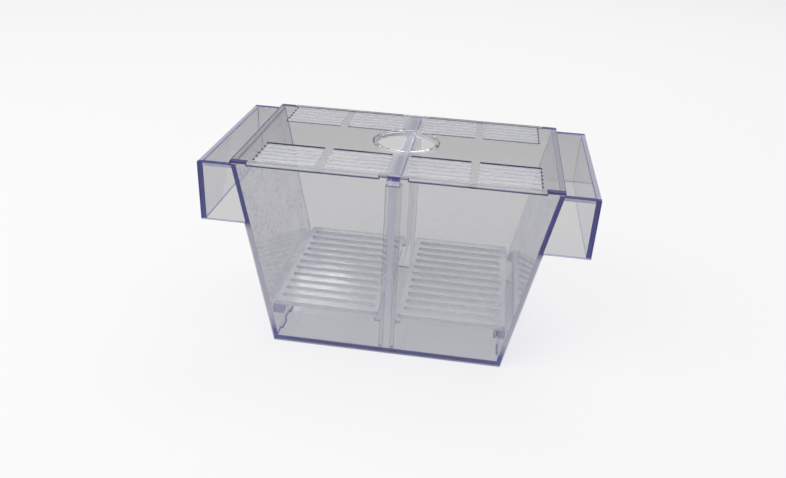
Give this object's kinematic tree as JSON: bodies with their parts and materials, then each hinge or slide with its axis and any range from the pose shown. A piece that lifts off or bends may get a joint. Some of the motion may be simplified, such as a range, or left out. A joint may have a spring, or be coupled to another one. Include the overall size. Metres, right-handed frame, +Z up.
{
  "type": "fish breeding box",
  "caption": "Clear floating breeding box with tapered sides, two float troughs, a lift-out divider, slotted gratings and a slotted lid with a feeding hole.",
  "frame": {"origin": "middle of the floor's underside, on the surface the box stands on", "axes": "+X across the box to the right, +Y from the front plate to the rear plate, +Z up"},
  "size_m": [0.2, 0.098, 0.1067],
  "materials": {
    "clear_plate": "clear polished polystyrene sheet",
    "edge_lit_plate": "clear polished polystyrene sheet whose cut edges glow violet",
    "grating_plate": "clear moulded polystyrene"
  },
  "bodies": {
    "box": {"front_panel": "clear_plate", "rear_panel": "clear_plate", "left_wall": "edge_lit_plate", "right_wall": "edge_lit_plate", "floor_panel": "clear_plate", "left_float_roof": "clear_plate", "right_float_roof": "clear_plate", "left_float_side": "edge_lit_plate", "right_float_side": "edge_lit_plate", "front_left_rib": "clear_plate", "front_right_rib": "clear_plate", "rear_left_rib": "clear_plate", "rear_right_rib": "clear_plate", "front_left_corner_block": "clear_plate", "front_right_corner_block": "clear_plate", "rear_left_corner_block": "clear_plate", "rear_right_corner_block": "clear_plate", "front_left_middle_block": "clear_plate", "front_right_middle_block": "clear_plate", "rear_left_middle_block": "clear_plate", "rear_right_middle_block": "clear_plate"},
    "lid": {"lid_plate": "clear_plate", "feeding_collar": "clear_plate"},
    "divider": {"divider": "edge_lit_plate"},
    "left_grating": {"left_grating": "grating_plate"},
    "right_grating": {"right_grating": "grating_plate"}
  },
  "joints": [
    {"name": "lid_lift", "type": "slide", "parent": "box", "child": "lid", "axis": [0, 0, 1], "range_m": [0, 0.2]},
    {"name": "divider_lift", "type": "slide", "parent": "box", "child": "divider", "axis": [0, 0, 1], "range_m": [0, 0.096]},
    {"name": "left_grating_lift", "type": "slide", "parent": "box", "child": "left_grating", "axis": [0, 0, 1], "range_m": [0, 0.09]},
    {"name": "right_grating_lift", "type": "slide", "parent": "box", "child": "right_grating", "axis": [0, 0, 1], "range_m": [0, 0.09]}
  ],
  "couplings": [
    {"joint": "divider_lift", "follows": "lid_lift", "ratio": 0.48},
    {"joint": "left_grating_lift", "follows": "lid_lift", "ratio": 0.45},
    {"joint": "right_grating_lift", "follows": "lid_lift", "ratio": 0.45}
  ]
}
